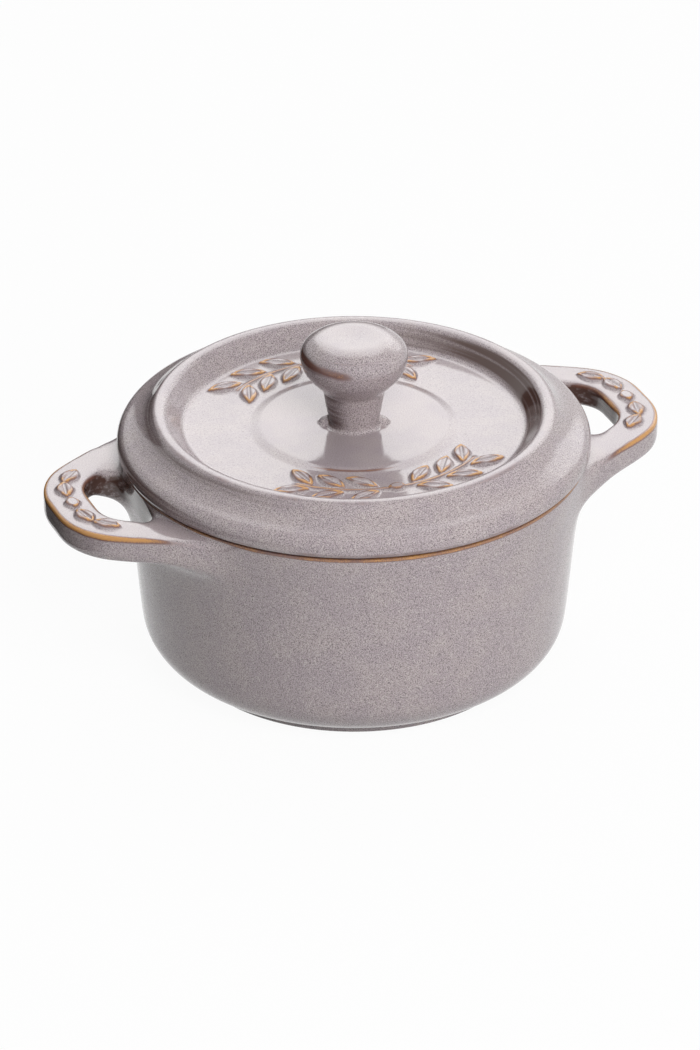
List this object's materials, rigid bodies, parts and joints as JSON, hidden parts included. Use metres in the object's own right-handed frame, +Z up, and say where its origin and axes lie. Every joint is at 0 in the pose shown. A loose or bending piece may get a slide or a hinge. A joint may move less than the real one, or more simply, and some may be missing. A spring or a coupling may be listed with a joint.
{
  "type": "mini cocotte",
  "caption": "Small round lidded pot of glazed stoneware with looped side handles and a knobbed lid that lifts off, for baking and serving single portions.",
  "frame": {"origin": "centre of the pot's foot ring, on the surface that the pot stands on", "axes": "+Z up through the knob, +X through the loop handles, +Y across them"},
  "size_m": [0.1432, 0.1058, 0.0789],
  "materials": {
    "glaze": "glossy speckled grey-mauve glaze that breaks to amber brown on raised edges"
  },
  "bodies": {
    "pot": {"pot": "glaze"},
    "lid": {"lid": "glaze"}
  },
  "joints": [
    {"name": "lid_lift", "type": "slide", "parent": "pot", "child": "lid", "axis": [0, 0, 1], "range_m": [0, 0.08]}
  ]
}
